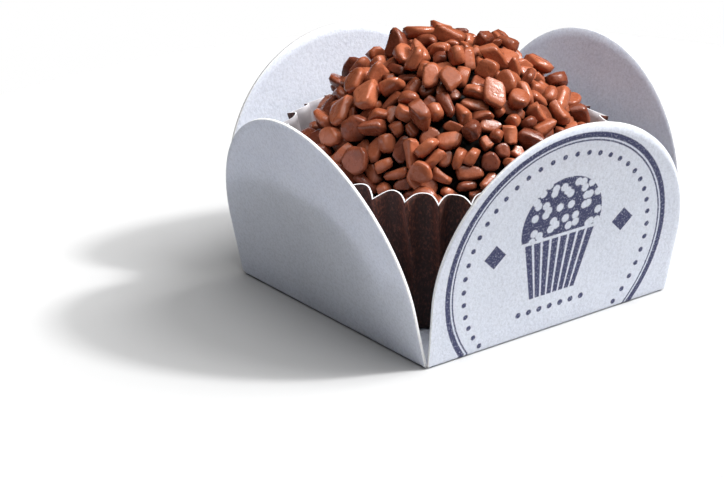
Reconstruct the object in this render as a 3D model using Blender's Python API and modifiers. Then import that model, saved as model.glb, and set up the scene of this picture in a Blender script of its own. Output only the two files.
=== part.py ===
"""A brigadeiro: a chocolate truffle rolled in chocolate flakes, in its fluted paper case, inside a card
cup that is one square sheet with four round petals folded up.

Metres, +Z up. The origin is the centre of the card's underside, and the front petal faces -Y.
"""

import math

import bmesh
import bpy
import numpy as np

MM = 0.001
GAP = 0.3 * MM

# Card cup: a square base, and on each side a petal with a straight band and a half-round top.
CARD_SIDE = 35.0 * MM
CARD_THICKNESS = 0.35 * MM
INSIDE_HALF = CARD_SIDE / 2 - CARD_THICKNESS
PETAL_RADIUS = CARD_SIDE / 2
PETAL_BAND = 7.95 * MM
PETAL_COLUMNS = 20
PETAL_ROWS = 3
# Each petal's turn about Z, its lean from upright, how much one edge leans more than the other, all in
# degrees, and its sideways drift for each unit of height.
PETALS = (
    {"turn": 0.0, "lean": 9.4, "twist": 1.4, "drift": 0.032},
    {"turn": 90.0, "lean": 10.3, "twist": -0.2, "drift": 0.0},
    {"turn": 180.0, "lean": 11.0, "twist": -0.5, "drift": 0.032},
    {"turn": 270.0, "lean": 13.2, "twist": 1.8, "drift": 0.033},
)

# Paper case: a round floor and a fluted wall that the card cup presses towards a square at the rim.
PAPER_THICKNESS = 0.15 * MM
CASE_CENTRE = (-0.7 * MM, -0.1 * MM)
CASE_BOTTOM = CARD_THICKNESS + GAP
FLOOR_RADIUS = 14.6 * MM
RIM_HALF_X = 19.2 * MM
RIM_HALF_Y = 19.7 * MM
RIM_SQUARENESS = 2.3
RIM_HEIGHT = 17.9 * MM
PLEATS = 34
PLEAT_SAMPLES = 4
PLEAT_START = 3.98
PLEAT_DRIFT = 1.73
FLOOR_PLEAT_DEPTH = 0.4 * MM
RIM_PLEAT_DEPTH = 1.7 * MM
RIM_PLEAT_RISE = 0.7 * MM
WALL_BANDS = 3

# Truffle: an upper and a lower half of unlike height, a flat foot, and flakes standing out all over.
BALL_CENTRE = (-0.2 * MM, 0.1 * MM, 17.2 * MM)
BALL_RADIUS = 15.8 * MM
BALL_UPPER_HEIGHT = 12.8 * MM
BALL_LOWER_HEIGHT = 16.6 * MM
FOOT_HEIGHT = CASE_BOTTOM + PAPER_THICKNESS + GAP
BALL_SUBDIVISIONS = 5
FLAKE_COUNT = 330
FLAKE_HEIGHT = 1.2 * MM
FLAKE_LENGTH = 3.4 * MM
FLAKE_WIDTH = 2.3 * MM
FLAKE_SEED = 7


def clear_scene():
    for obj in list(bpy.data.objects):
        bpy.data.objects.remove(obj, do_unlink=True)


def material(name, colour, roughness):
    """A Principled material with one colour, in linear RGB."""
    mat = bpy.data.materials.new(name)
    mat.use_nodes = True
    shader = mat.node_tree.nodes["Principled BSDF"]
    shader.inputs["Base Color"].default_value = (*colour, 1.0)
    shader.inputs["Roughness"].default_value = roughness
    shader.inputs["Metallic"].default_value = 0.0
    return mat


def add_object(name, bm, mat, collection):
    """Turns a bmesh into a named object with its material."""
    mesh = bpy.data.meshes.new(name)
    bm.to_mesh(mesh)
    bm.free()
    mesh.materials.append(mat)
    obj = bpy.data.objects.new(name, mesh)
    collection.objects.link(obj)
    return obj


def give_thickness(obj, thickness, offset):
    """Thickens an open sheet along its normals with offset 1, or against them with offset -1."""
    wall = obj.modifiers.new("thickness", "SOLIDIFY")
    wall.thickness = thickness
    wall.offset = offset
    wall.use_even_offset = True
    wall.use_quality_normals = True


def add_sheet(bm, columns, rows, place):
    """Adds a grid to bm, and moves its point (s, t), each from -1 to 1, to place(s, t)."""
    sheet = bmesh.ops.create_grid(bm, x_segments=columns, y_segments=rows, size=1.0)
    for vert in sheet["verts"]:
        vert.co = place(vert.co.x, vert.co.y)


def across(s):
    """Spreads s from -1 to 1, closer together at the ends, where a petal's round top turns down."""
    return math.sin(s * math.pi / 2)


def petal_point(s, t, petal):
    """A point of a petal's inner face: s runs across it, and t from the fold at -1 to the edge at 1.

    The petal is as wide as the base's inner face at the fold, and reaches its full width at the top of
    its straight band.
    """
    u = across(s)
    top = PETAL_BAND + PETAL_RADIUS * math.sqrt(max(1 - u**2, 0.0))
    height = top * (t + 1) / 2
    half_width = INSIDE_HALF + (PETAL_RADIUS - INSIDE_HALF) * min(height / PETAL_BAND, 1.0)
    lean = math.radians(petal["lean"] + petal["twist"] * u)
    turn = math.radians(petal["turn"])
    x = u * half_width + petal["drift"] * height
    y = -(INSIDE_HALF + height * math.sin(lean))
    return (
        x * math.cos(turn) - y * math.sin(turn),
        x * math.sin(turn) + y * math.cos(turn),
        CARD_THICKNESS + height * math.cos(lean),
    )


def base_point(s, t):
    """A point of the base's inner face, turned so that its normal points down like the petals' out."""
    return (INSIDE_HALF * across(s), -INSIDE_HALF * across(t), CARD_THICKNESS)


def make_card_cup(collection):
    """One sheet of card: the base and its four petals, which share the fold lines with it.

    The sheet is the inner face and the card grows outwards from it, so that neighbouring petals meet
    only at the corners of the base.
    """
    bm = bmesh.new()
    add_sheet(bm, PETAL_COLUMNS, PETAL_COLUMNS, base_point)
    for petal in PETALS:
        add_sheet(bm, PETAL_COLUMNS, PETAL_ROWS, lambda s, t, p=petal: petal_point(s, t, p))
    bmesh.ops.remove_doubles(bm, verts=bm.verts, dist=0.01 * MM)
    card = material("white_card", (0.78, 0.80, 0.86), 0.7)
    obj = add_object("card_cup", bm, card, collection)
    give_thickness(obj, CARD_THICKNESS, 1.0)
    return obj


def pleat_angle(phase):
    """The angle round the case where the pleats reach this phase: they crowd a little on two sides."""
    angle = (phase - PLEAT_START) / PLEATS
    for _ in range(20):
        angle = (phase - PLEAT_START + PLEAT_DRIFT * math.sin(2 * angle)) / PLEATS
    return angle


def rim_radius(angle):
    """The rim's outline seen from above, a rounded square."""
    x = abs(math.cos(angle)) / RIM_HALF_X
    y = abs(math.sin(angle)) / RIM_HALF_Y
    return (x**RIM_SQUARENESS + y**RIM_SQUARENESS) ** (-1 / RIM_SQUARENESS)


def case_point(phase, rise):
    """A point of the wall: phase counts round the pleats, and rise runs from the floor, 0, to the rim, 1.

    The pleats' outer folds are sharp and the hollows between them are round: their depth follows the
    absolute sine of half the phase. They deepen towards the rim, where the hollows also stand higher.
    """
    angle = pleat_angle(phase)
    hollow = abs(math.sin(phase / 2))
    depth = FLOOR_PLEAT_DEPTH + (RIM_PLEAT_DEPTH - FLOOR_PLEAT_DEPTH) * rise
    radius = FLOOR_RADIUS + (rim_radius(angle) - FLOOR_RADIUS) * rise - depth * hollow
    height = CASE_BOTTOM + (RIM_HEIGHT - CASE_BOTTOM + RIM_PLEAT_RISE * hollow) * rise
    return (
        CASE_CENTRE[0] + radius * math.cos(angle),
        CASE_CENTRE[1] + radius * math.sin(angle),
        height,
    )


def make_paper_case(collection):
    """The fluted case: a floor with a fan of folds, and the pleated wall above it."""
    bm = bmesh.new()
    columns = PLEATS * PLEAT_SAMPLES
    whole = 2 * math.pi * PLEATS
    add_sheet(bm, columns, WALL_BANDS, lambda s, t: case_point(whole * (s + 1) / 2, (t + 1) / 2))
    bmesh.ops.remove_doubles(bm, verts=bm.verts, dist=0.001 * MM)
    edge = [e for e in bm.edges if e.is_boundary and e.verts[0].co.z < CASE_BOTTOM + GAP]
    floor = bmesh.ops.contextual_create(bm, geom=edge)["faces"]
    bmesh.ops.poke(bm, faces=floor)
    bmesh.ops.recalc_face_normals(bm, faces=bm.faces)
    paper = material("brown_paper", (0.035, 0.016, 0.011), 0.8)
    obj = add_object("paper_case", bm, paper, collection)
    give_thickness(obj, PAPER_THICKNESS, -1.0)
    return obj


def spread_directions(count):
    """Unit vectors spread evenly over a sphere along a golden-angle spiral."""
    k = np.arange(count)
    z = 1 - (2 * k + 1) / count
    angle = k * math.pi * (3 - math.sqrt(5))
    ring = np.sqrt(1 - z**2)
    return np.stack([ring * np.cos(angle), ring * np.sin(angle), z], axis=1)


def flake_relief(directions):
    """How far the flakes stand out of the truffle in each direction, from 0 to 1.

    Each flake is a rounded oval in the plane that touches the sphere at its centre, turned at random,
    and the highest flake wins.
    """
    rng = np.random.default_rng(FLAKE_SEED)
    centres = spread_directions(FLAKE_COUNT) + rng.normal(0.0, 0.03, (FLAKE_COUNT, 3))
    centres /= np.linalg.norm(centres, axis=1, keepdims=True)
    along = np.cross(centres, rng.normal(size=(FLAKE_COUNT, 3)))
    along /= np.linalg.norm(along, axis=1, keepdims=True)
    beside = np.cross(centres, along)
    proud = rng.uniform(0.6, 1.0, FLAKE_COUNT)
    u = directions @ along.T * BALL_RADIUS / (FLAKE_LENGTH / 2)
    v = directions @ beside.T * BALL_RADIUS / (FLAKE_WIDTH / 2)
    facing = directions @ centres.T > 0
    oval = np.where(facing, 1 - (u**4 + v**4), -1.0)
    return (np.sqrt(np.clip(oval, 0.0, 1.0)) * proud).max(axis=1)


def make_truffle(collection):
    """The truffle out to its flakes, flattened where it sits on the case's floor."""
    bm = bmesh.new()
    bmesh.ops.create_icosphere(bm, subdivisions=BALL_SUBDIVISIONS, radius=1.0)
    directions = np.array([vert.co for vert in bm.verts])
    directions /= np.linalg.norm(directions, axis=1, keepdims=True)
    reach = 1 - FLAKE_HEIGHT * (1 - flake_relief(directions)) / BALL_RADIUS
    half = np.where(directions[:, 2] > 0, BALL_UPPER_HEIGHT, BALL_LOWER_HEIGHT)
    size = np.stack([np.full(len(half), BALL_RADIUS)] * 2 + [half], axis=1)
    points = BALL_CENTRE + directions * size * reach[:, None]
    points[:, 2] = np.maximum(points[:, 2], FOOT_HEIGHT)
    for vert, point in zip(bm.verts, points):
        vert.co = point
    chocolate = material("chocolate_flakes", (0.19, 0.065, 0.035), 0.4)
    return add_object("brigadeiro", bm, chocolate, collection)


def main():
    clear_scene()
    collection = bpy.data.collections.new("brigadeiro_in_cup")
    bpy.context.scene.collection.children.link(collection)
    make_card_cup(collection)
    make_paper_case(collection)
    truffle = make_truffle(collection)
    truffle.data.shade_smooth()


main()
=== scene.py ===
import bpy
import numpy as np
from mathutils import Matrix, Vector


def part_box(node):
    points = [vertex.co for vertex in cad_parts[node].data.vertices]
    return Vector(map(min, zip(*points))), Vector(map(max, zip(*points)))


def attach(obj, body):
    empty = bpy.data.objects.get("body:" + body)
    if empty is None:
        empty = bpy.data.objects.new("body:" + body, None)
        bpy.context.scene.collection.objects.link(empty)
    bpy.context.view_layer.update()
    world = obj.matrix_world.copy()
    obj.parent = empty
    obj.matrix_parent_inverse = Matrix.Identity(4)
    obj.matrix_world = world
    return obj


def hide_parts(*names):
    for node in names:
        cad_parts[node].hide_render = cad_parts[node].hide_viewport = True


# A brigadeiro: a chocolate truffle rolled in chocolate flakes, in a fluted paper case, inside a card
# cup folded from one sheet. Metres, +Z up; the stamped petal faces -Y. The stamp and the truffle are
# worked out in millimetres, and a pattern's scale is its cells in a metre.

bl_info = {
    "name": "Brigadeiro in a card cup",
    "version": (1, 0, 0),
    "blender": (4, 5, 0),
    "location": "View3D > Sidebar > Brigadeiro",
    "description": "Makes a flake-covered truffle, its fluted paper case and its folded card cup",
    "category": "Add Mesh",
}

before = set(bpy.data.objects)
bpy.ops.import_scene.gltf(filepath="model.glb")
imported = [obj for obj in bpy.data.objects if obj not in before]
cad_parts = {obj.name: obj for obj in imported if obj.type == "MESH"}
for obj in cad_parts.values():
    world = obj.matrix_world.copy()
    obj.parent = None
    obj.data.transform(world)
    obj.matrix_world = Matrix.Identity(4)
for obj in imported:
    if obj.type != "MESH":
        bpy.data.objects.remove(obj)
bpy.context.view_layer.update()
CASE_LOW, CASE_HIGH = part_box("paper_case")
BALL_LOW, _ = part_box("brigadeiro")

MM = 0.001
TAU = 2 * np.pi
# Keeps a division from dividing by nothing.
TINY = 1e-6


def linear(hex_colour):
    """Turns an sRGB hex colour into linear RGB."""
    value = np.array([int(hex_colour[i : i + 2], 16) for i in (1, 3, 5)]) / 255
    straight = np.where(value <= 0.04045, value / 12.92, ((value + 0.055) / 1.055) ** 2.4)
    return tuple(float(v) for v in straight)


def length(name, description, default):
    """A length in metres that the panel shows."""
    kind = {"unit": "LENGTH", "subtype": "DISTANCE", "precision": 5}
    return bpy.props.FloatProperty(name=name, description=description, default=default, **kind)


def colour(name, description, default):
    """A colour that the panel shows, from an sRGB hex value."""
    kind = {"subtype": "COLOR", "size": 3, "min": 0, "max": 1}
    shade = linear(default)
    return bpy.props.FloatVectorProperty(name=name, description=description, default=shade, **kind)


def brightness(name, description, default):
    """A light's strength that the panel shows."""
    return bpy.props.FloatProperty(name=name, description=description, default=default, min=0)


class CardSettings(bpy.types.PropertyGroup):
    side: length("Base side", "Side of the square base", 35.0 * MM)
    thickness: length("Card thickness", "Thickness of the card", 0.35 * MM)
    band: length("Petal band", "Straight part of a petal below its half-round top", 7.95 * MM)
    crease: length("Crease", "How far from a fold line the card already bends", 0.2 * MM)
    board: colour("Board", "Uncoated white board", "#DADFEC")
    edge: colour("Cut edge", "Clean core of the board", "#FAFAFC")
    ink: colour("Stamp ink", "Dark blue stamp ink", "#2E3159")


class CaseSettings(bpy.types.PropertyGroup):
    pleats: bpy.props.IntProperty(name="Pleats", description="Pleats round the wall", default=34, min=8)
    thickness: length("Paper thickness", "Thickness of the paper wall", 0.15 * MM)
    floor_radius: length("Floor radius", "Radius of the flat floor", 14.6 * MM)
    rim_height: length("Rim height", "Height of the outer folds at the rim", CASE_HIGH.z - 0.7 * MM)
    outside: colour("Paper outside", "Dark brown dyed side", "#5E3428")
    inside: colour("Paper inside", "White greaseproof side", "#C8C4C8")
    edge: colour("Cut edge", "Undyed core of the paper", "#F2F1F4")


class TruffleSettings(bpy.types.PropertyGroup):
    flakes: bpy.props.IntProperty(name="Flakes", description="Flakes all over", default=620, min=10)
    seed: bpy.props.IntProperty(name="Seed", description="Which scatter of flakes", default=21)
    light: colour("Light flake", "Lightest milk chocolate", "#B5694A")
    middle: colour("Flake", "Milk chocolate", "#9F573A")
    dark: colour("Dark flake", "Darkest milk chocolate", "#693526")
    core: colour("Core", "Sticky truffle paste", "#080403")


class StageSettings(bpy.types.PropertyGroup):
    floor: colour("Floor", "Plain pale table", "#C8C8C8")
    key: brightness("Key light", "Window light", 2.7)
    lamp: brightness("Lamp", "Small light in the window", 2.4)
    reflector: brightness("Reflector", "Light from the viewer's side", 0.65)
    fill: brightness("Fill light", "Ceiling light", 1.4)
    sky: brightness("Room light", "Light of the room", 0.02)


# ---- meshes


def open_grid(columns, rows):
    """Quads of a grid of points numbered row by row, facing along columns x rows."""
    point = np.arange(rows * columns).reshape(rows, columns)
    corners = (point[:-1, :-1], point[:-1, 1:], point[1:, 1:], point[1:, :-1])
    return np.stack(corners, axis=-1).reshape(-1, 4)


def closed_grid(columns, rings):
    """Quads and triangles of a surface closed round its columns, with a pole at each end.

    Points are numbered ring by ring, then the pole before the first ring and the one after the last.
    """
    ring = np.arange(rings * columns).reshape(rings, columns)
    after = np.roll(ring, -1, axis=1)
    quads = np.stack([ring[:-1], ring[1:], after[1:], after[:-1]], axis=-1).reshape(-1, 4)
    pole = np.full(columns, rings * columns)
    top = np.stack([pole, ring[0], after[0]], axis=-1)
    bottom = np.stack([pole + 1, after[-1], ring[-1]], axis=-1)
    return quads, np.concatenate([top, bottom])


def weld(points, faces, distance):
    """Joins points that lie on the same spot, to the given distance."""
    spot = np.round(points / distance)
    _, first, same = np.unique(spot, axis=0, return_index=True, return_inverse=True)
    return points[first], same.reshape(-1)[faces]


def add_piece(name, points, faces, materials):
    """Makes a smooth-shaded mesh object at the origin, in metres."""
    mesh = bpy.data.meshes.new(name)
    mesh.from_pydata(points.tolist(), [], faces)
    mesh.polygons.foreach_set("use_smooth", np.ones(len(faces), bool))
    for mat in materials:
        mesh.materials.append(mat)
    mesh.update()
    piece = bpy.data.objects.new(name, mesh)
    bpy.context.scene.collection.objects.link(piece)
    return piece


def add_uv(piece, name, corner_uv):
    """Gives a piece a UV map from one (u, v) for each face corner."""
    layer = piece.data.uv_layers.new(name=name)
    layer.uv.foreach_set("vector", np.asarray(corner_uv, np.float32).ravel())


def add_value(piece, name, values):
    """Gives a piece one number for each point, for its material to read."""
    attribute = piece.data.attributes.new(name, "FLOAT", "POINT")
    attribute.data.foreach_set("value", np.asarray(values, np.float32).ravel())


def thicken(piece, thickness, offset, back, rim):
    """Gives a sheet its thickness along its normals (offset 1) or against them (offset -1)."""
    wall = piece.modifiers.new("thickness", "SOLIDIFY")
    wall.thickness = thickness
    wall.offset = offset
    wall.use_even_offset = True
    wall.use_quality_normals = True
    wall.material_offset = back
    wall.material_offset_rim = rim


# ---- materials


def add_node(tree, kind, links=None, ramp=None, **settings):
    """Adds a node, with its settings, its inputs set or linked, and its colour ramp's stops.

    A colour of three numbers gets an alpha where its socket has one.
    """
    node = tree.nodes.new("ShaderNode" + kind)
    for name, value in settings.items():
        setattr(node, name, value)
    for name, value in (links or {}).items():
        socket = node.inputs[name]
        if isinstance(value, bpy.types.NodeSocket):
            tree.links.new(value, socket)
        elif hasattr(value, "__len__"):
            socket.default_value = (*value, 1)[: len(socket.default_value)]
        else:
            socket.default_value = value
    if ramp:
        stops = node.color_ramp.elements
        while len(stops) < len(ramp):
            stops.new(1.0)
        for stop, (position, shade) in zip(stops, ramp):
            stop.position = position
            stop.color = (*shade, 1)
    return node


def new_material(name, **sockets):
    """A material with its Principled shader's uniform values set, and its tree and shader."""
    mat = bpy.data.materials.new(name)
    mat.use_nodes = True
    tree = mat.node_tree
    shader = tree.nodes["Principled BSDF"]
    for socket, value in sockets.items():
        shader.inputs[socket.replace("_", " ")].default_value = value
    return mat, tree, shader


def grey(value):
    """A neutral linear colour."""
    return (value, value, value)


# Mix nodes keep a set of sockets for each kind of data; these are the colour ones.
MIX_A, MIX_B, MIX_RESULT = 6, 7, 2
MULTIPLIED = {"data_type": "RGBA", "blend_type": "MULTIPLY"}


# Board lets some light through: what falls on one face glows faintly on the other.
BOARD = {
    "Roughness": 0.75,
    "IOR": 1.45,
    "Specular_IOR_Level": 0.3,
    "Subsurface_Weight": 0.8,
    "Subsurface_Radius": (1.0, 0.97, 0.95),
    "Subsurface_Scale": 0.9 * MM,
}


def board_surface(tree, shader, tint):
    """Uncoated board's felt mark of about 0.4 mm, fibre and faint cloudiness; returns its colour socket.

    Real fibres are finer than this; they are drawn as coarse as they need to show.
    """
    place = add_node(tree, "TexCoord").outputs["Object"]
    felt = add_node(
        tree, "TexNoise", {"Vector": place, "Scale": 2300.0, "Detail": 2.0, "Roughness": 0.6}
    )
    fibre = add_node(
        tree, "TexNoise", {"Vector": place, "Scale": 2900.0, "Detail": 3.0, "Roughness": 0.8}
    )
    cloud = add_node(tree, "TexNoise", {"Vector": place, "Scale": 180.0, "Detail": 3.0})
    dips = (0.3, [0.95 * c for c in tint])
    shade = add_node(tree, "ValToRGB", {"Fac": cloud.outputs["Fac"]}, ramp=(dips, (0.7, tint)))
    speck = add_node(
        tree, "ValToRGB", {"Fac": fibre.outputs["Fac"]}, ramp=((0.36, grey(0.86)), (0.56, grey(1.0)))
    )
    colour_out = add_node(
        tree,
        "Mix",
        {0: 1.0, MIX_A: shade.outputs["Color"], MIX_B: speck.outputs["Color"]},
        **MULTIPLIED,
    ).outputs[MIX_RESULT]
    bump = add_node(
        tree, "Bump", {"Height": felt.outputs["Fac"], "Strength": 0.9, "Distance": 0.08 * MM}
    )
    tree.links.new(bump.outputs["Normal"], shader.inputs["Normal"])
    return colour_out


def board_material(name, tint):
    """Uncoated white board, felt-marked in the making: matt, cool white and slightly uneven."""
    mat, tree, shader = new_material(name, **BOARD)
    tree.links.new(board_surface(tree, shader, tint), shader.inputs["Base Color"])
    return mat


# The stamp is worked out in millimetres on the petal, u across it and v up it from the fold. Each step
# names a value and makes it from one or two others; a shape is negative inside and positive outside.
# The operations are the Math node's, with SQUARE for a value times itself.
STAMP_CENTRE = (-0.5, 9.1, 0.0)
STAMP_DOME = (-0.5, 13.7, 0.0)
STAMP_STEPS = (
    # Thick outer ring, thin inner ring.
    ("ring", "SUBTRACT", "radius", 15.1),
    ("ring", "ABSOLUTE", "ring"),
    ("ring", "SUBTRACT", "ring", 0.34),
    ("thin", "SUBTRACT", "radius", 14.45),
    ("thin", "ABSOLUTE", "thin"),
    ("thin", "SUBTRACT", "thin", 0.10),
    # A ring of dots: the angle is cut into equal cells, and each cell holds one dot.
    ("cell", "ARCTAN2", "dv", "du"),
    ("cell", "MULTIPLY", "cell", 48 / TAU),
    ("cell", "FRACT", "cell"),
    ("cell", "SUBTRACT", "cell", 0.5),
    ("cell", "MULTIPLY", "cell", 12.9 * TAU / 48),
    ("cell", "SQUARE", "cell"),
    ("dots", "SUBTRACT", "radius", 12.9),
    ("dots", "SQUARE", "dots"),
    ("dots", "ADD", "dots", "cell"),
    ("dots", "SQRT", "dots"),
    ("dots", "SUBTRACT", "dots", 0.32),
    # A truffle: a disc cut off at the cup's rim, with light flecks.
    ("dome", "SUBTRACT", "dome_radius", 5.6),
    ("under", "SUBTRACT", 12.2, "v"),
    ("dome", "MAXIMUM", "dome", "under"),
    ("fleck", "SUBTRACT", 0.36, "fleck_radius"),
    ("dome", "MAXIMUM", "dome", "fleck"),
    # Its pleated cup: sides that lean out, cut by stripes that lean with them.
    ("side", "ABSOLUTE", "du"),
    ("lean", "MULTIPLY", "v", 0.24),
    ("lean", "ADD", "lean", 2.2),
    ("cup", "SUBTRACT", "side", "lean"),
    ("belly", "SUBTRACT", "v", 8.2),
    ("belly", "ABSOLUTE", "belly"),
    ("belly", "SUBTRACT", "belly", 3.6),
    ("cup", "MAXIMUM", "cup", "belly"),
    ("stripe", "DIVIDE", "du", "lean"),
    ("stripe", "MULTIPLY", "stripe", 4.0),
    ("stripe", "ADD", "stripe", 40.5),
    ("stripe", "FRACT", "stripe"),
    ("stripe", "SUBTRACT", "stripe", 0.5),
    ("stripe", "ABSOLUTE", "stripe"),
    ("stripe", "SUBTRACT", 0.13, "stripe"),
    ("cup", "MAXIMUM", "cup", "stripe"),
    # A diamond on each side.
    ("gem", "SUBTRACT", "side", 9.0),
    ("gem", "ABSOLUTE", "gem"),
    ("rise", "SUBTRACT", "v", 11.6),
    ("rise", "ABSOLUTE", "rise"),
    ("gem", "ADD", "gem", "rise"),
    ("gem", "SUBTRACT", "gem", 1.5),
    # A short row of dots under the cup.
    ("row", "DIVIDE", "du", 1.5),
    ("row", "ADD", "row", 40.5),
    ("row", "FRACT", "row"),
    ("row", "SUBTRACT", "row", 0.5),
    ("row", "MULTIPLY", "row", 1.5),
    ("row", "SQUARE", "row"),
    ("low", "SUBTRACT", "v", 2.9),
    ("low", "SQUARE", "low"),
    ("row", "ADD", "row", "low"),
    ("row", "SQRT", "row"),
    ("row", "SUBTRACT", "row", 0.36),
    ("end", "SUBTRACT", "side", 5.2),
    ("row", "MAXIMUM", "row", "end"),
    # All shapes together, with edges that run a little into the board.
    ("ink", "MINIMUM", "ring", "thin"),
    *(("ink", "MINIMUM", "ink", shape) for shape in ("dots", "dome", "cup", "gem", "row")),
    ("run", "MULTIPLY", "grain", 0.22),
    ("ink", "ADD", "ink", "run"),
)


def stamped_material(name, tint, ink):
    """The same board, hand stamped in dark blue: ink misses the low fibres, so light flecks show."""
    mat, tree, shader = new_material(name, **BOARD)
    board = board_surface(tree, shader, tint)
    flat = add_node(tree, "UVMap", uv_map="petal").outputs["UV"]
    split = add_node(tree, "SeparateXYZ", {"Vector": flat})
    ring = add_node(tree, "VectorMath", {0: flat, 1: STAMP_CENTRE}, operation="DISTANCE")
    dome = add_node(tree, "VectorMath", {0: flat, 1: STAMP_DOME}, operation="DISTANCE")
    fleck = add_node(tree, "TexVoronoi", {"Vector": flat, "Scale": 0.72}, voronoi_dimensions="2D")
    grain = add_node(tree, "TexNoise", {"Vector": flat, "Scale": 6.0, "Detail": 3.0, "Roughness": 0.6})
    offset = add_node(tree, "VectorMath", {0: flat, 1: STAMP_CENTRE}, operation="SUBTRACT")
    off = add_node(tree, "SeparateXYZ", {"Vector": offset.outputs["Vector"]})
    centred = add_node(tree, "Math", {0: grain.outputs["Fac"], 1: 0.5}, operation="SUBTRACT")
    values = {
        "du": off.outputs["X"],
        "dv": off.outputs["Y"],
        "v": split.outputs["Y"],
        "radius": ring.outputs["Value"],
        "dome_radius": dome.outputs["Value"],
        "fleck_radius": fleck.outputs["Distance"],
        "grain": centred.outputs["Value"],
    }
    for result, operation, *terms in STAMP_STEPS:
        terms = [values.get(term, term) for term in terms]
        if operation == "SQUARE":
            operation, terms = "MULTIPLY", terms * 2
        inputs = dict(enumerate(terms))
        values[result] = add_node(tree, "Math", inputs, operation=operation).outputs["Value"]
    cover = add_node(tree, "MapRange", {"Value": values["ink"], "From Min": 0.05, "From Max": -0.05})
    wear_and_painted_light = add_node(tree, "TexNoise", {"Vector": flat, "Scale": 4.2, "Detail": 4.0, "Roughness": 0.75})
    hold = add_node(
        tree, "ValToRGB", {"Fac": wear_and_painted_light.outputs["Fac"]}, ramp=((0.32, grey(0.3)), (0.46, grey(0.96)))
    )
    strength = add_node(
        tree, "Math", {0: cover.outputs["Result"], 1: hold.outputs["Color"]}, operation="MULTIPLY"
    )
    mix = add_node(
        tree, "Mix", {0: strength.outputs["Value"], MIX_A: board, MIX_B: ink}, data_type="RGBA"
    )
    tree.links.new(mix.outputs[MIX_RESULT], shader.inputs["Base Color"])
    return mat


def brown_paper_material(tint):
    """Greaseproof paper dyed dark brown: matt, with paler fibres that catch the light.

    Painted light and shade: it is darker low down and in the hollows, as painted shade, and paler on the
    flanks of the outer folds and near the rim, as painted light.
    """
    mat, tree, shader = new_material("dyed_greaseproof_paper", Roughness=0.7, IOR=1.45)
    place = add_node(tree, "TexCoord").outputs["Object"]
    stretch = add_node(tree, "Mapping", {"Vector": place, "Scale": (1.0, 1.0, 0.45)})
    fibre = add_node(
        tree,
        "TexNoise",
        {"Vector": stretch.outputs["Vector"], "Scale": 4200.0, "Detail": 3.0, "Roughness": 0.7},
    )
    cloud = add_node(tree, "TexNoise", {"Vector": place, "Scale": 500.0, "Detail": 2.0})
    shade = add_node(
        tree,
        "ValToRGB",
        {"Fac": fibre.outputs["Fac"]},
        ramp=((0.35, [0.55 * c for c in tint]), (0.52, tint), (0.68, [3.4 * c for c in tint])),
    )
    wash = add_node(
        tree, "ValToRGB", {"Fac": cloud.outputs["Fac"]}, ramp=((0.3, grey(0.75)), (0.7, grey(1.0)))
    )
    mix = add_node(
        tree, "Mix", {0: 1.0, MIX_A: shade.outputs["Color"], MIX_B: wash.outputs["Color"]}, **MULTIPLIED
    )
    # Painted shade low down and in the pleats' hollows, painted light on one flank of each outer fold
    # and near the rim.
    rubbed = add_node(tree, "Attribute", attribute_name="rubbed").outputs["Fac"]
    pleat_shading = add_node(
        tree,
        "ValToRGB",
        {"Fac": rubbed},
        ramp=((0.0, grey(0.16)), (0.5, grey(0.5)), (1.0, (1.0, 0.93, 0.9))),
    )
    wear_and_painted_light = add_node(
        tree,
        "Mix",
        {0: 1.0, MIX_A: mix.outputs[MIX_RESULT], MIX_B: pleat_shading.outputs["Color"]},
        **MULTIPLIED,
    )
    bump = add_node(
        tree, "Bump", {"Height": fibre.outputs["Fac"], "Strength": 0.5, "Distance": 0.05 * MM}
    )
    tree.links.new(wear_and_painted_light.outputs[MIX_RESULT], shader.inputs["Base Color"])
    tree.links.new(bump.outputs["Normal"], shader.inputs["Normal"])
    return mat


def white_paper_material(name, tint):
    """The undyed side of the greaseproof paper: pale, with 2.4 mm stains of cocoa butter."""
    mat, tree, shader = new_material(name, Roughness=0.6, IOR=1.45)
    place = add_node(tree, "TexCoord").outputs["Object"]
    stain = add_node(
        tree, "TexNoise", {"Vector": place, "Scale": 420.0, "Detail": 4.0, "Roughness": 0.6}
    )
    shade = add_node(
        tree,
        "ValToRGB",
        {"Fac": stain.outputs["Fac"]},
        ramp=((0.38, [0.7 * c for c in tint]), (0.55, tint)),
    )
    tree.links.new(shade.outputs["Color"], shader.inputs["Base Color"])
    return mat


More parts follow.
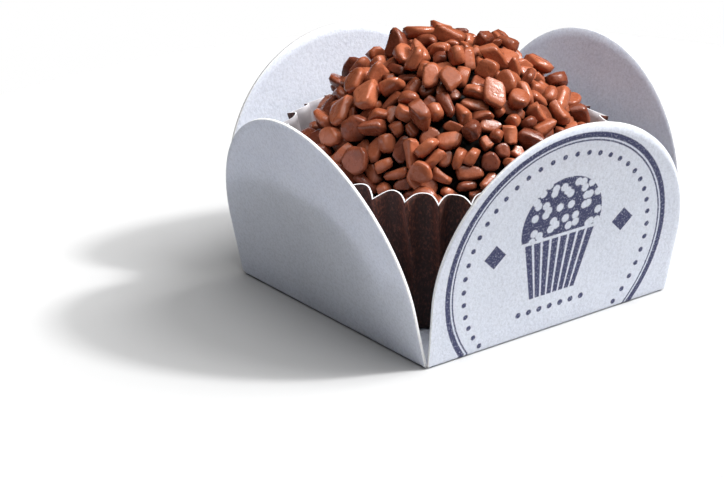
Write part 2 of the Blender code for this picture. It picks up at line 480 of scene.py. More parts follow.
def flake_material(light, middle, dark, paste):
    """Milk chocolate flakes, tumbled and waxed: satin, with 0.7 mm dents and a gloss that varies.

    Near the core they are painted darker towards the paste's colour: partly the paste's smear, partly
    painted shade between the flakes.
    """
    mat, tree, shader = new_material("waxed_milk_chocolate", IOR=1.5, Specular_IOR_Level=0.4)
    place = add_node(tree, "TexCoord").outputs["Object"]
    own = add_node(tree, "Attribute", attribute_name="shade").outputs["Fac"]
    cloud = add_node(
        tree, "TexNoise", {"Vector": place, "Scale": 900.0, "Detail": 3.0, "Roughness": 0.6}
    ).outputs["Fac"]
    dent = add_node(
        tree, "TexNoise", {"Vector": place, "Scale": 1500.0, "Detail": 3.0, "Roughness": 0.55}
    )
    blend = add_node(tree, "Math", {0: cloud, 1: 0.5, 2: own}, operation="MULTIPLY_ADD")
    shade = add_node(
        tree,
        "ValToRGB",
        {"Fac": blend.outputs["Value"]},
        ramp=((0.2, dark), (0.6, middle), (1.0, light)),
    )
    gloss = add_node(
        tree,
        "MapRange",
        {"Value": cloud, "From Min": 0.35, "From Max": 0.65, "To Min": 0.18, "To Max": 0.36},
    )
    bump = add_node(
        tree, "Bump", {"Height": dent.outputs["Fac"], "Strength": 0.5, "Distance": 0.16 * MM}
    )
    # Painted shade: near the core the flakes are mixed towards the paste's colour, for the shade between
    # them as well as the paste's smear.
    smeared = add_node(tree, "Attribute", attribute_name="smeared").outputs["Fac"]
    paste_shade = add_node(
        tree, "MapRange", {"Value": smeared, "From Min": 0.05, "From Max": 0.75, "To Max": 0.96}
    )
    mixed = add_node(
        tree,
        "Mix",
        {0: paste_shade.outputs["Result"], MIX_A: shade.outputs["Color"], MIX_B: paste},
        data_type="RGBA",
    )
    tree.links.new(mixed.outputs[MIX_RESULT], shader.inputs["Base Color"])
    tree.links.new(gloss.outputs["Result"], shader.inputs["Roughness"])
    tree.links.new(bump.outputs["Normal"], shader.inputs["Normal"])
    return mat


# Little of the paste is seen, deep between the flakes, so its gloss is held down.
PASTE = {"Roughness": 0.22, "IOR": 1.45, "Specular_IOR_Level": 0.06}


def core_material(tint):
    """Cooked chocolate paste between the flakes: near black and sticky, with 1.4 mm lumps."""
    mat, tree, shader = new_material("sticky_truffle_paste", **PASTE)
    shader.inputs["Base Color"].default_value = (*tint, 1)
    place = add_node(tree, "TexCoord").outputs["Object"]
    lump = add_node(
        tree, "TexNoise", {"Vector": place, "Scale": 700.0, "Detail": 1.0, "Roughness": 0.4}
    )
    bump = add_node(
        tree, "Bump", {"Height": lump.outputs["Fac"], "Strength": 0.7, "Distance": 0.35 * MM}
    )
    tree.links.new(bump.outputs["Normal"], shader.inputs["Normal"])
    return mat


# ---- card cup

PETAL_COLUMNS = 64
WELD_DISTANCE = 0.002 * MM
# Each petal's turn about Z, its lean from upright, how much one edge leans more than the other, all in
# degrees, and its sideways drift for each unit of height.
PETALS = (
    {"turn": 0.0, "lean": 9.4, "twist": 1.4, "drift": 0.032},
    {"turn": 90.0, "lean": 10.3, "twist": -0.2, "drift": 0.0},
    {"turn": 180.0, "lean": 11.0, "twist": -0.5, "drift": 0.032},
    {"turn": 270.0, "lean": 13.2, "twist": 1.8, "drift": 0.033},
)
# A petal's rows: how far up the straight part they lie, and how far round the bend of the fold.
BEND_ROWS = 6
STRAIGHT_ROWS = 21
PETAL_SHARES = np.concatenate([np.zeros(BEND_ROWS), np.linspace(0.0, 1.0, STRAIGHT_ROWS)])
BEND_SHARES = np.concatenate([np.arange(BEND_ROWS) / BEND_ROWS, np.ones(STRAIGHT_ROWS)])


def petal_sheet(card, petal):
    """A petal's inner face: points and their flat places (u across, v up from the fold) in millimetres.

    Across, points follow a sine so that they crowd where the half-round top turns down. The fold is an
    arc that touches the base and the petal at the crease's length from the line where they would meet.
    With that length d and the petal's lean a, the arc's radius is d(1 + sin a)/cos a.
    """
    inside_half = card.side / 2 - card.thickness
    across = np.sin(np.linspace(-1, 1, PETAL_COLUMNS + 1) * np.pi / 2)[None, :]
    top = card.band + card.side / 2 * np.sqrt(np.clip(1 - across**2, 0, None))
    height = card.crease + (top - card.crease) * PETAL_SHARES[:, None]
    bend = BEND_SHARES[:, None]
    spread = card.thickness * np.minimum(height / card.band, 1.0) * bend
    half_width = inside_half - card.crease * (1 - bend) + spread
    lean = np.radians(petal["lean"] + petal["twist"] * across)
    radius = card.crease * (1 + np.sin(lean)) / np.cos(lean)
    turned = bend * (np.pi / 2 - lean)
    straight = height - card.crease
    x = across * half_width + petal["drift"] * height * bend
    y = -(inside_half - card.crease + radius * np.sin(turned) + straight * np.sin(lean))
    z = card.thickness + radius * (1 - np.cos(turned)) + straight * np.cos(lean)
    turn = np.radians(petal["turn"])
    points = np.stack(
        [x * np.cos(turn) - y * np.sin(turn), x * np.sin(turn) + y * np.cos(turn), z], axis=-1
    )
    flat = np.stack([across * half_width / MM, height * bend / MM], axis=-1)
    return points.reshape(-1, 3), flat.reshape(-1, 2)


def base_sheet(card):
    """The base's inner face, turned so that its normal points down as the petals' point out."""
    flat_half = card.side / 2 - card.thickness - card.crease
    step = flat_half * np.sin(np.linspace(-1, 1, PETAL_COLUMNS + 1) * np.pi / 2)
    x, y = np.meshgrid(step, -step)
    points = np.stack([x, y, np.full_like(x, card.thickness)], axis=-1)
    return points.reshape(-1, 3), points[..., :2].reshape(-1, 2) / MM


class BRIGADEIRO_OT_card_cup(bpy.types.Operator):
    """Folds the card cup: a square base with four petals, the front one stamped"""

    bl_idname = "brigadeiro.card_cup"
    bl_label = "Card cup"

    def execute(self, context):
        card = context.scene.brigadeiro_card
        sheets = [base_sheet(card)] + [petal_sheet(card, petal) for petal in PETALS]
        grids = [open_grid(PETAL_COLUMNS + 1, PETAL_COLUMNS + 1)]
        grids += [open_grid(PETAL_COLUMNS + 1, len(PETAL_SHARES))] * len(PETALS)
        starts = np.cumsum([0] + [len(points) for points, _ in sheets])
        points = np.concatenate([sheet[0] for sheet in sheets])
        flat = np.concatenate([sheet[1] for sheet in sheets])
        faces = np.concatenate([grid + start for grid, start in zip(grids, starts)])
        owner = np.repeat(np.arange(len(grids)), [len(grid) for grid in grids])
        welded, joined = weld(points, faces, WELD_DISTANCE)
        board = board_material("uncoated_felt_marked_board", tuple(card.board))
        stamped = stamped_material("stamped_board", tuple(card.board), tuple(card.ink))
        edge = board_material("cut_edge_of_board", tuple(card.edge))
        # Outer, inner and cut faces of the plain board, then of the stamped petal.
        slots = [board, board, edge, stamped, board, edge]
        piece = add_piece("folded_card", welded, joined.tolist(), slots)
        add_uv(piece, "petal", flat[faces].reshape(-1, 2))
        piece.data.polygons.foreach_set("material_index", np.where(owner == 1, 3, 0).astype(np.int32))
        thicken(piece, card.thickness, 1.0, 1, 2)
        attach(piece, "root")
        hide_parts("card_cup")
        return {"FINISHED"}


# ---- paper case

# The rim is a rounded square of these half-widths; a higher squareness has tighter corners.
CASE_CENTRE = (-0.7 * MM, -0.1 * MM)
RIM_HALF_X = 19.2 * MM
RIM_HALF_Y = 19.7 * MM
RIM_SQUARENESS = 2.3
PLEAT_SAMPLES = 16
# Where the first pleat stands, in radians of a pleat, and how the pleats bunch up round the rim.
PLEAT_START = 3.98
PLEAT_DRIFT = 1.73
DRIFT_STEPS = 20
FLOOR_PLEAT_DEPTH = 0.4 * MM
RIM_PLEAT_DEPTH = 1.7 * MM
RIM_PLEAT_RISE = 0.7 * MM
# How unlike the pleats are: lowest and highest share of the depth, change of height in millimetres, and
# sideways shift of the hollow in radians.
PLEAT_DEPTHS = (0.8, 1.15)
PLEAT_RISES = (-0.18, 0.18)
PLEAT_SKEWS = (-0.1, 0.75)
HOLLOW_POWER = 0.9
WALL_ROWS = 26
FLOOR_RINGS = 7
CASE_SEED = 5
# Painted light and shade on the case's outside: where it is lightest, in turns of a pleat from its outer
# fold, the least share of it elsewhere, and how it fades into painted shade down the wall.
LIT_FLANK = 0.9
LEAST_PAINTED_LIGHT = 0.35
LOW_SHADE_POWER = 0.8


def round_value(values, turns):
    """Reads one value per pleat, smoothly joined, at a place counted in pleats round the case."""
    count = len(values)
    whole = np.floor(turns).astype(int)
    part = (1 - np.cos(np.pi * (turns - whole))) / 2
    return values[whole % count] * (1 - part) + values[(whole + 1) % count] * part


def case_sheet(case, bottom):
    """The case's outer face, as rows from the rim down the wall and in over the floor to its centre.

    The outer folds are sharp and the hollows between them round: depth follows the absolute sine of half
    the pleat's phase. Pleats deepen towards the rim, where the hollows also stand higher. Each pleat has
    its own depth, height and sideways shift. They bunch up by a sine of twice the angle, which is found
    by putting it back in its own formula until it settles.
    """
    rng = np.random.default_rng(CASE_SEED)
    columns = case.pleats * PLEAT_SAMPLES
    turns = np.arange(columns) / PLEAT_SAMPLES
    deeper = round_value(rng.uniform(*PLEAT_DEPTHS, case.pleats), turns)
    taller = round_value(rng.uniform(*PLEAT_RISES, case.pleats), turns) * MM
    skew = round_value(rng.uniform(*PLEAT_SKEWS, case.pleats), turns)
    phase = TAU * turns
    angle = (phase - PLEAT_START) / case.pleats
    for _ in range(DRIFT_STEPS):
        angle = (phase - PLEAT_START + PLEAT_DRIFT * np.sin(2 * angle)) / case.pleats
    along = np.abs(np.cos(angle)) / RIM_HALF_X
    sideways = np.abs(np.sin(angle)) / RIM_HALF_Y
    rim = (along**RIM_SQUARENESS + sideways**RIM_SQUARENESS) ** (-1 / RIM_SQUARENESS)
    hollow = np.abs(np.sin((phase + skew * np.sin(phase)) / 2)) ** HOLLOW_POWER
    rise = np.linspace(1, 0, WALL_ROWS)[:, None]
    depth = FLOOR_PLEAT_DEPTH + (RIM_PLEAT_DEPTH * deeper - FLOOR_PLEAT_DEPTH) * rise
    radius = case.floor_radius + (rim - case.floor_radius) * rise - depth * hollow
    height = bottom + (case.rim_height - bottom + RIM_PLEAT_RISE * hollow + taller) * rise
    inward = np.linspace(1, 0, FLOOR_RINGS + 1)[1:-1, None]
    floor_radius = case.floor_radius * inward - FLOOR_PLEAT_DEPTH * hollow * inward**2
    radius = np.concatenate([radius, floor_radius])
    height = np.concatenate([height, np.full_like(floor_radius, bottom)])
    x = CASE_CENTRE[0] + radius * np.cos(angle)
    y = CASE_CENTRE[1] + radius * np.sin(angle)
    points = np.stack([x, y, height], axis=-1).reshape(-1, 3)
    return np.concatenate([points, [[*CASE_CENTRE, bottom]]])


def case_painted_light(case, points):
    """How light the outside is painted: painted light most by the rim and on the flanks of the outer
    folds, painted shade low down and in the hollows.
    """
    rise = np.clip((points[:, 2] - CASE_LOW.z) / (case.rim_height - CASE_LOW.z), 0, 1)
    turns = np.arange(len(points)) % (case.pleats * PLEAT_SAMPLES) / PLEAT_SAMPLES
    # The flank of each outer fold that gets the painted light.
    lit_flank = 0.5 + 0.5 * np.cos(TAU * (turns - LIT_FLANK))
    return rise**LOW_SHADE_POWER * (LEAST_PAINTED_LIGHT + (1 - LEAST_PAINTED_LIGHT) * lit_flank**2)


class BRIGADEIRO_OT_paper_case(bpy.types.Operator):
    """Pleats the paper case: brown outside, white inside"""

    bl_idname = "brigadeiro.paper_case"
    bl_label = "Paper case"

    def execute(self, context):
        case = context.scene.brigadeiro_case
        points = case_sheet(case, CASE_LOW.z)
        columns = case.pleats * PLEAT_SAMPLES
        rings = WALL_ROWS + FLOOR_RINGS - 1
        quads, triangles = closed_grid(columns, rings)
        centre = triangles[columns:].copy()
        centre[:, 0] = rings * columns
        faces = quads.tolist() + centre.tolist()
        brown = brown_paper_material(tuple(case.outside))
        white = white_paper_material("greaseproof_paper_inside", tuple(case.inside))
        edge = board_material("cut_edge_of_paper", tuple(case.edge))
        piece = add_piece("fluted_paper", points, faces, [brown, white, edge])
        # The outside's painted light and shade: lightest by the rim and on the folds' flanks, darkest
        # low down and in the hollows.
        add_value(piece, "rubbed", case_painted_light(case, points))
        thicken(piece, case.thickness, -1.0, 1, 2)
        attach(piece, "root")
        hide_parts("paper_case")
        return {"FINISHED"}


# ---- truffle

# Millimetres. The ball's middle is at its widest height; its halves are of unlike height and power. The
# lumps are a share of the radius, made by waves of so many radians to a radius. The core's foot stands a
# little above the flakes' foot.
BALL_CENTRE = np.array([-0.2, 0.1, 17.2])
CORE_RADIUS = 13.85
CORE_UPPER_HEIGHT = 10.9
CORE_LOWER_HEIGHT = 14.9
CORE_UPPER_POWER = 1.62
CORE_LOWER_POWER = 2.0
CORE_COLUMNS = 160
CORE_RINGS = 79
CORE_LUMPS = 0.035
CORE_WAVES = 24
WAVE_RATES = (6, 22)
FOOT_RISE = 0.15
# Height above the core up to which the flakes are painted darker: partly the paste's smear, partly
# painted shade between the flakes.
PASTE_SHADE_HEIGHT = 1.35

# Kinds of flake: tablets, rods and nuggets. Their shares, then the lowest and highest length, width as a
# share of the length, and thickness of each.
FLAKE_KINDS = (0.50, 0.38, 0.12)
FLAKE_LENGTHS = ((2.2, 3.9), (2.5, 4.0), (1.4, 2.1))
FLAKE_WIDTHS = ((0.50, 0.85), (0.36, 0.48), (0.7, 1.0))
FLAKE_THICKNESSES = ((1.05, 1.45), (0.95, 1.15), (1.0, 1.4))
LEAST_WIDTH = 0.95
FLAKE_SCALE = 1.06
# Where flakes start: the power that thins them out low on the ball, how uneven their spiral is, their
# height above the core, the share that stand well up from it, and the tilts of those and the others.
THINNING = 0.92
UNEVENNESS = 0.05
START_HEIGHTS = (0.8, 3.4)
STEEP_SHARE = 0.18
STEEP_TILTS = (0, 1.2)
LOOSE_TILT = 0.35
# Each flake's own place between dark and light, before the cloudiness adds to it.
FLAKE_SHADES = (0.0, 0.7)
# How many side planes flakes have, and the shares of each number.
FLAKE_SIDES = (4, 5, 6)
FLAKE_SIDE_SHARES = (0.5, 0.3, 0.2)
FLAKE_POWERS = (4.0, 8.0)
# How uneven flakes are: the turn of a side and of the outline, the least share that a side is cut in to,
# the slopes of sides and flat faces, the bend, the curve in plan, how many curve more, and the taper.
SIDE_TURN = 0.18
OUTLINE_TURN = 0.3
LEAST_REACH = 0.76
SIDE_SLOPE = 0.12
FACE_SLOPE = 0.09
FLAKE_BEND = 0.16
FLAKE_CURVE = 0.1
MORE_CURVE = 0.4
CURVED_SHARE = 0.35
FLAKE_TAPER = 0.15
# So far off that a plane rounds nothing: for the sides that a flake doesn't have.
NEVER_REACHED = 1e3
FLAKE_COLUMNS = 14
# Rings of a flake from its top: share of its outline, and share of its half-thickness.
FLAKE_PROFILE = ((0.60, 1.0), (0.90, 0.86), (1.0, 0.0), (0.90, -0.86), (0.60, -1.0))

# The settling: steps in all, steps between searches for neighbours, how near neighbours are, balls that
# stand for a flake, how far out they stand at least, the first pull towards the core, how far flakes
# keep apart as a share of where they touch, how much of an overlap a step undoes, and last steps without
# a pull.
SETTLE_STEPS = 200
REFRESH = 8
NEARBY = 0.5
BALLS = 7
LEAST_RUN = 0.15
LEAST_SWEEP = 0.12
PULL = 0.16
SPACING = 1.12
PUSH = 0.3
REST_STEPS = 30


def core_half(height):
    """Half-height and power of the core's half that these heights above its middle are in.

    The upper half is a little pointed, and the lower half is an ellipsoid.
    """
    upper = height > 0
    half = np.where(upper, CORE_UPPER_HEIGHT, CORE_LOWER_HEIGHT)
    return half, np.where(upper, CORE_UPPER_POWER, CORE_LOWER_POWER)


def core_surface(unit):
    """Points on the core in these directions from its middle."""
    half, power = core_half(unit[..., 2])
    wide = np.hypot(unit[..., 0], unit[..., 1]) / CORE_RADIUS
    high = np.abs(unit[..., 2]) / half
    scaled = (wide**power + high**power) ** (1 / power)
    return unit / scaled[..., None]


def core_distance(place):
    """About how far points lie outside the core, and the direction away from it.

    With r the distance from the axis, a the core's radius, h its half-height and n its power, the core
    ends where k = ((r/a)^n + (z/h)^n)^(1/n) is 1. The distance is about k - 1 over the steepness of k.
    """
    half, power = core_half(place[..., 2])
    across = np.maximum(np.hypot(place[..., 0], place[..., 1]), TINY)
    wide = across / CORE_RADIUS
    high = np.maximum(np.abs(place[..., 2]) / half, TINY)
    scaled = (wide**power + high**power) ** (1 / power)
    sideways = (wide / scaled) ** (power - 1) / CORE_RADIUS
    upwards = (high / scaled) ** (power - 1) / half * np.sign(place[..., 2])
    outward = place[..., :2] / across[..., None] * sideways[..., None]
    slope = np.concatenate([outward, upwards[..., None]], axis=-1)
    steep = np.linalg.norm(slope, axis=-1)
    return (scaled - 1) / steep, slope / steep[..., None]


def flake_sizes(rng, count):
    """Half-length, half-width and half-thickness of tablets, rods and nuggets."""
    kind = rng.choice(len(FLAKE_KINDS), count, p=FLAKE_KINDS)

    def draw(ranges):
        return np.choose(kind, [rng.uniform(low, high, count) for low, high in ranges])

    long = draw(FLAKE_LENGTHS)
    wide = np.maximum(long * draw(FLAKE_WIDTHS), LEAST_WIDTH)
    thick = np.minimum(draw(FLAKE_THICKNESSES), 0.95 * wide + 0.05)
    return FLAKE_SCALE * np.stack([long, wide, thick], axis=1) / 2


def scatter(rng, count):
    """Start directions on a golden-angle spiral, thinned out below the middle of the ball."""
    k = np.arange(count)
    share = (k + 0.5) / count
    z = 1 - 2 * share**THINNING
    angle = k * np.pi * (3 - np.sqrt(5)) + rng.normal(0, UNEVENNESS, count)
    ring = np.sqrt(1 - z**2)
    return np.stack([ring * np.cos(angle), ring * np.sin(angle), z], axis=1)


def near_pairs(centre, reach):
    """Pairs of flakes whose bounding spheres come near each other."""
    apart = np.linalg.norm(centre[:, None] - centre[None], axis=-1)
    first, second = np.nonzero(np.triu(apart < reach[:, None] + reach[None] + NEARBY, 1))
    return first, second


def settle(size, turn, centre, foot):
    """Lets the flakes sink onto the core without passing through it or each other.

    A flake is seven balls: one in its middle and six round the ellipse inside its outline. Every step
    pulls the balls inwards, pushes them out of the core, off the foot's plane and apart where two
    flakes touch, and then puts each flake's balls back in their own pattern by the rotation that fits
    them best. Returns the rotations and centres.
    """
    radius = size[:, 2]
    around = np.arange(BALLS - 1) * TAU / (BALLS - 1)
    run = np.maximum(size[:, :1] - radius[:, None], LEAST_RUN) * np.cos(around)
    sweep = np.maximum(size[:, 1:2] - radius[:, None], LEAST_SWEEP) * np.sin(around)
    pattern = np.zeros((len(size), BALLS, 3))
    pattern[:, 1:, 0] = run
    pattern[:, 1:, 1] = sweep
    place = centre[:, None] + np.einsum("nij,nkj->nki", turn, pattern)
    reach = size[:, 0]
    for step in range(SETTLE_STEPS):
        if step % REFRESH == 0:
            first, second = near_pairs(place.mean(1), reach)
            balls_first = (first[:, None] * BALLS + np.arange(BALLS)).ravel()
            balls_second = (second[:, None] * BALLS + np.arange(BALLS)).ravel()
            limit = SPACING * (radius[first] + radius[second])[:, None, None]
        away, outward = core_distance(place)
        pull = PULL * max(0.0, 1 - step / (SETTLE_STEPS - REST_STEPS))
        place = place - pull * outward
        inside = np.minimum(away - pull - radius[:, None], 0)
        place = place - inside[..., None] * outward
        place[..., 2] = np.maximum(place[..., 2], foot + radius[:, None])
        apart = place[first][:, :, None] - place[second][:, None]
        gap = np.linalg.norm(apart, axis=-1)
        push = np.minimum(gap - limit, 0) / np.maximum(gap, TINY) * PUSH
        shift = apart * push[..., None]
        move = np.zeros((len(size) * BALLS, 3))
        for axis in range(3):
            move[:, axis] -= np.bincount(balls_first, shift[..., axis].sum(2).ravel(), len(move))
            move[:, axis] += np.bincount(balls_second, shift[..., axis].sum(1).ravel(), len(move))
        place = place + move.reshape(place.shape)
        middle = place.mean(1, keepdims=True)
        left, _, right = np.linalg.svd(np.einsum("nki,nkj->nij", place - middle, pattern))
        flip = np.ones((len(size), 3))
        flip[:, 2] = np.linalg.det(left @ right)
        turn = np.einsum("nij,nj,njk->nik", left, flip, right)
        place = middle + np.einsum("nij,nkj->nki", turn, pattern)
    return turn, middle[:, 0]


def tumbled(rng, outward, tilt):
    """Rotations that lay a flake against the ball, turned at random and then tipped by tilt."""
    side = np.cross(outward, rng.normal(size=outward.shape))
    side /= np.linalg.norm(side, axis=1, keepdims=True)
    normal = outward * np.cos(tilt)[:, None] + np.cross(side, outward) * np.sin(tilt)[:, None]
    other = np.cross(normal, side)
    spin = rng.uniform(0, TAU, len(outward))[:, None]
    first = side * np.cos(spin) + other * np.sin(spin)
    return np.stack([first, np.cross(normal, first), normal], axis=-1)


def flake_shapes(rng, size):
    """Points and normals of every flake about its own centre, in millimetres.

    A flake is bounded by four to six side planes, a top and a bottom. With d a plane's distance and m
    its normal, the surface lies where the sum of (x.m/d) to the power p over all planes ahead is 1,
    which rounds every edge; a higher p rounds less. Then the flake is bent along its length, curved in
    plan and tapered, and its normals follow by the inverse transpose of the bend's slopes.
    """
    count = len(size)
    most = max(FLAKE_SIDES)
    sides = rng.choice(FLAKE_SIDES, count, p=FLAKE_SIDE_SHARES)
    k = np.arange(most)
    angle = TAU * (k + rng.uniform(-SIDE_TURN, SIDE_TURN, (count, most))) / sides[:, None]
    angle = angle + rng.uniform(-OUTLINE_TURN, OUTLINE_TURN, (count, 1))
    reach = np.hypot(size[:, :1] * np.cos(angle), size[:, 1:2] * np.sin(angle))
    reach = reach * rng.uniform(LEAST_REACH, 1.0, (count, most))
    reach = np.where(k < sides[:, None], reach, NEVER_REACHED)
    planes = np.zeros((count, most + 2, 3))
    planes[:, :most, 0] = np.cos(angle)
    planes[:, :most, 1] = np.sin(angle)
    planes[:, :most, 2] = rng.normal(0, SIDE_SLOPE, (count, most))
    planes[:, most, 2] = 1
    planes[:, most + 1, 2] = -1
    planes[:, most:, :2] = rng.normal(0, FACE_SLOPE, (count, 2, 2))
    distance = np.concatenate([reach, np.repeat(size[:, 2:], 2, axis=1)], axis=1)
    planes /= distance[..., None]
    power = rng.uniform(*FLAKE_POWERS, count)[:, None, None]

    def outline(direction):
        ahead = np.maximum(np.einsum("nvi,nki->nvk", direction, planes), 0)
        total = (ahead**power).sum(-1)
        return total ** (-1 / power[..., 0]), ahead

    around = np.arange(FLAKE_COLUMNS) * TAU / FLAKE_COLUMNS
    level = np.zeros((count, FLAKE_COLUMNS))
    flat = np.stack([size[:, :1] * np.cos(around), size[:, 1:2] * np.sin(around), level], axis=-1)
    flat = flat * outline(flat)[0][..., None]
    thick = size[:, None, 2:]
    rings = [flat * [share, share, 0] + [0, 0, 1] * thick * up for share, up in FLAKE_PROFILE]
    poles = np.array([[0, 0, 1.0], [0, 0, -1.0]]) * thick
    direction = np.concatenate([*rings, poles], axis=1)
    scale, ahead = outline(direction)
    points = direction * scale[..., None]
    ahead = ahead * scale[..., None]
    normals = np.einsum("nvk,nki->nvi", ahead ** (power - 1), planes)
    curved = np.where(rng.random((count, 1)) < CURVED_SHARE, MORE_CURVE, FLAKE_CURVE)
    bend = rng.normal(0, FLAKE_BEND, (count, 1)) * size[:, 2:] / size[:, :1] ** 2
    curve = rng.normal(0, 1, (count, 1)) * curved * size[:, 1:2] / size[:, :1] ** 2
    taper = rng.normal(0, FLAKE_TAPER, (count, 1)) / size[:, :1]
    x, y, z = points[..., 0], points[..., 1], points[..., 2]
    slopes = np.zeros((*x.shape, 3, 3))
    slopes[..., 0, 0] = 1
    slopes[..., 1, 0] = 2 * curve * x
    slopes[..., 1, 1] = 1
    slopes[..., 2, 0] = taper * z + 2 * bend * x
    slopes[..., 2, 2] = 1 + taper * x
    points = np.stack([x, y + curve * x**2, z * (1 + taper * x) + bend * x**2], axis=-1)
    normals = np.einsum("nvji,nvj->nvi", np.linalg.inv(slopes), normals)
    return points, normals / np.linalg.norm(normals, axis=-1, keepdims=True)


class BRIGADEIRO_OT_core(bpy.types.Operator):
    """Makes the truffle's sticky core"""

    bl_idname = "brigadeiro.core"
    bl_label = "Truffle core"

    def execute(self, context):
        truffle = context.scene.brigadeiro_truffle
        rng = np.random.default_rng(truffle.seed)
        down = np.linspace(0, np.pi, CORE_RINGS + 2)[1:-1, None]
        around = np.arange(CORE_COLUMNS) * TAU / CORE_COLUMNS
        ring = np.sin(down)
        grid = [ring * np.cos(around), ring * np.sin(around), np.cos(down) + 0 * around]
        unit = np.concatenate([np.stack(grid, axis=-1).reshape(-1, 3), [[0, 0, 1.0], [0, 0, -1.0]]])
        waves = rng.normal(size=(CORE_WAVES, 3)) * rng.uniform(*WAVE_RATES, (CORE_WAVES, 1))
        lumps = np.cos(unit @ waves.T + rng.uniform(0, TAU, CORE_WAVES)).mean(1)
        points = BALL_CENTRE + core_surface(unit) * (1 + CORE_LUMPS * lumps[:, None])
        points[:, 2] = np.maximum(points[:, 2], BALL_LOW.z / MM + FOOT_RISE)
        quads, triangles = closed_grid(CORE_COLUMNS, CORE_RINGS)
        faces = quads.tolist() + triangles.tolist()
        piece = add_piece("truffle_core", points * MM, faces, [core_material(tuple(truffle.core))])
        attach(piece, "root")
        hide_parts("brigadeiro")
        return {"FINISHED"}


class BRIGADEIRO_OT_flakes(bpy.types.Operator):
    """Rolls the truffle in chocolate flakes"""

    bl_idname = "brigadeiro.flakes"
    bl_label = "Chocolate flakes"

    def execute(self, context):
        truffle = context.scene.brigadeiro_truffle
        rng = np.random.default_rng(truffle.seed)
        count = truffle.flakes
        size = flake_sizes(rng, count)
        outward = scatter(rng, count)
        start = core_surface(outward) + outward * rng.uniform(*START_HEIGHTS, (count, 1))
        steep = rng.random(count) < STEEP_SHARE
        tilt = np.where(steep, rng.uniform(*STEEP_TILTS, count), rng.normal(0, LOOSE_TILT, count))
        foot = BALL_LOW.z / MM - BALL_CENTRE[2]
        start[:, 2] = np.maximum(start[:, 2], foot + size[:, 0])
        turn, centre = settle(size, tumbled(rng, outward, tilt), start, foot)
        points, normals = flake_shapes(rng, size)
        points = BALL_CENTRE + centre[:, None] + np.einsum("nij,nvj->nvi", turn, points)
        normals = np.einsum("nij,nvj->nvi", turn, normals)
        points[..., 2] = np.maximum(points[..., 2], BALL_LOW.z / MM)
        quads, triangles = closed_grid(FLAKE_COLUMNS, len(FLAKE_PROFILE))
        each = points.shape[1] * np.arange(count)[:, None, None]
        faces = (quads + each).reshape(-1, 4).tolist() + (triangles + each).reshape(-1, 3).tolist()
        shades = (truffle.light, truffle.middle, truffle.dark, truffle.core)
        colours = flake_material(*(tuple(shade) for shade in shades))
        piece = add_piece("chocolate_flakes", points.reshape(-1, 3) * MM, faces, [colours])
        piece.data.normals_split_custom_set_from_vertices(normals.reshape(-1, 3).tolist())
        add_value(piece, "shade", np.repeat(rng.uniform(*FLAKE_SHADES, count), points.shape[1]))
        # Painted shade between the flakes, with the paste's smear: the nearer the core, the darker.
        away, _ = core_distance(points.reshape(-1, 3) - BALL_CENTRE)
        add_value(piece, "smeared", np.clip(1 - away / PASTE_SHADE_HEIGHT, 0, 1))
        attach(piece, "root")
        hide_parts("brigadeiro")
        return {"FINISHED"}


# ---- stage

# The camera: degrees, and its distance and offsets from the object's origin.
AZIMUTH = -36.62
ELEVATION = 22.95
ROLL = -1.1
CAMERA_DISTANCE = 463.9 * MM
CAMERA_RIGHT = -10.5 * MM
CAMERA_UP = 4.88 * MM
LENS = 199.73
TABLE_RADIUS = 85.0 * MM
TABLE_SIDES = 128
TABLE_TOP = -0.02 * MM
# Where each light shines from, and its spread in degrees.
LIGHTS = {
    "key": ((0.85, -0.42, 1.15), 38.0),
    "lamp": ((0.82, -0.58, 1.0), 7.0),
    "reflector": ((-0.1, -0.8, 1.2), 50.0),
    "fill": ((0.0, 0.0, 1.0), 50.0),
}


def add_sun(name, towards, strength, spread):
    """A distant soft light from the given direction, spread over an angle in degrees."""
    light = bpy.data.lights.new(name, "SUN")
    light.energy = strength
    light.angle = np.radians(spread)
    lamp = bpy.data.objects.new(name, light)
    lamp.rotation_euler = Vector(towards).to_track_quat("Z", "Y").to_euler()
    bpy.context.scene.collection.objects.link(lamp)


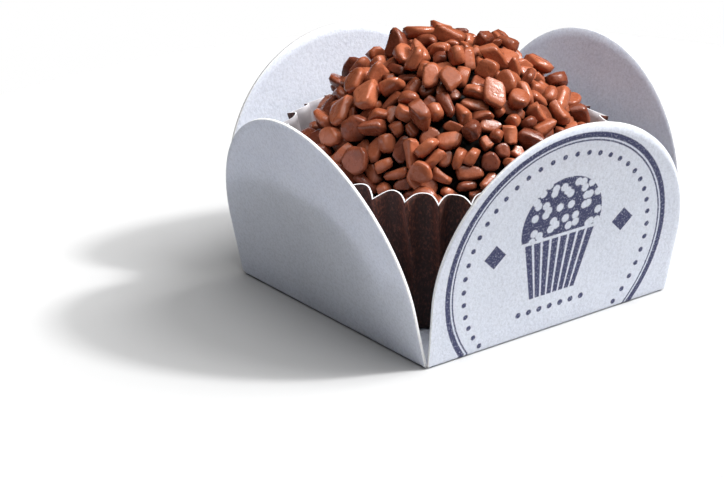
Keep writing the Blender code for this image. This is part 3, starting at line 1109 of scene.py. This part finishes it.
class BRIGADEIRO_OT_stage(bpy.types.Operator):
    """Sets up the table, the lights and the camera"""

    bl_idname = "brigadeiro.stage"
    bl_label = "Stage"

    def execute(self, context):
        scene = context.scene
        stage = scene.brigadeiro_stage
        mat, _, shader = new_material("pale_table", Roughness=0.9, Specular_IOR_Level=0.1)
        shader.inputs["Base Color"].default_value = (*stage.floor, 1)
        around = np.arange(TABLE_SIDES) * TAU / TABLE_SIDES
        rim = TABLE_RADIUS * np.stack([np.cos(around), np.sin(around)], axis=-1)
        points = np.column_stack([rim, np.full(TABLE_SIDES, TABLE_TOP)])
        floor = add_piece("table", points, [list(range(TABLE_SIDES))], [mat])

        for name, (towards, spread) in LIGHTS.items():
            add_sun(name, towards, getattr(stage, name), spread)

        world = bpy.data.worlds.new("room")
        world.use_nodes = True
        tree = world.node_tree
        seen = add_node(tree, "LightPath").outputs["Is Camera Ray"]
        strength = add_node(tree, "MapRange", {"Value": seen, "To Min": stage.sky, "To Max": 1.0})
        tree.links.new(strength.outputs["Result"], tree.nodes["Background"].inputs["Strength"])
        tree.nodes["Background"].inputs["Color"].default_value = (1, 1, 1, 1)
        scene.world = world
        scene.view_settings.view_transform = "Standard"

        # Axes of the camera from its azimuth and elevation, then rolled about its view.
        azimuth, elevation, roll = np.radians([AZIMUTH, ELEVATION, ROLL])
        flat = np.cos(elevation)
        back = np.array([np.sin(azimuth) * flat, -np.cos(azimuth) * flat, np.sin(elevation)])
        right = np.cross([0, 0, 1], back)
        right /= np.linalg.norm(right)
        up = np.cross(back, right)
        right, up = np.cos(roll) * right + np.sin(roll) * up, np.cos(roll) * up - np.sin(roll) * right
        eye = back * CAMERA_DISTANCE + right * CAMERA_RIGHT + up * CAMERA_UP
        camera = bpy.data.objects.new("camera", bpy.data.cameras.new("camera"))
        camera.data.lens = LENS
        camera.data.clip_start = 0.01
        matrix = np.eye(4)
        matrix[:3] = np.column_stack([right, up, back, eye])
        camera.matrix_world = Matrix(matrix.tolist())
        scene.collection.objects.link(camera)
        scene.camera = camera
        return {"FINISHED"}


class BRIGADEIRO_PT_panel(bpy.types.Panel):
    """Lists the pieces and their settings"""

    bl_idname = "BRIGADEIRO_PT_panel"
    bl_label = "Brigadeiro"
    bl_space_type = "VIEW_3D"
    bl_region_type = "UI"
    bl_category = "Brigadeiro"

    def draw(self, context):
        for operators, settings in PANEL_ROWS:
            box = self.layout.box()
            for operator in operators:
                box.operator(operator)
            group = getattr(context.scene, settings)
            for name in group.__annotations__:
                box.prop(group, name)


PANEL_ROWS = (
    (("brigadeiro.card_cup",), "brigadeiro_card"),
    (("brigadeiro.paper_case",), "brigadeiro_case"),
    (("brigadeiro.core", "brigadeiro.flakes"), "brigadeiro_truffle"),
    (("brigadeiro.stage",), "brigadeiro_stage"),
)
GROUPS = {
    "brigadeiro_card": CardSettings,
    "brigadeiro_case": CaseSettings,
    "brigadeiro_truffle": TruffleSettings,
    "brigadeiro_stage": StageSettings,
}
CLASSES = (
    *GROUPS.values(),
    BRIGADEIRO_OT_card_cup,
    BRIGADEIRO_OT_paper_case,
    BRIGADEIRO_OT_core,
    BRIGADEIRO_OT_flakes,
    BRIGADEIRO_OT_stage,
    BRIGADEIRO_PT_panel,
)


def register():
    for cls in CLASSES:
        bpy.utils.register_class(cls)
    for name, group in GROUPS.items():
        setattr(bpy.types.Scene, name, bpy.props.PointerProperty(type=group))


def unregister():
    for name in GROUPS:
        delattr(bpy.types.Scene, name)
    for cls in reversed(CLASSES):
        bpy.utils.unregister_class(cls)


def main():
    register()
    for operators, _ in PANEL_ROWS:
        for name in operators:
            getattr(bpy.ops.brigadeiro, name.split(".")[1])()


if __name__ == "__main__":
    main()
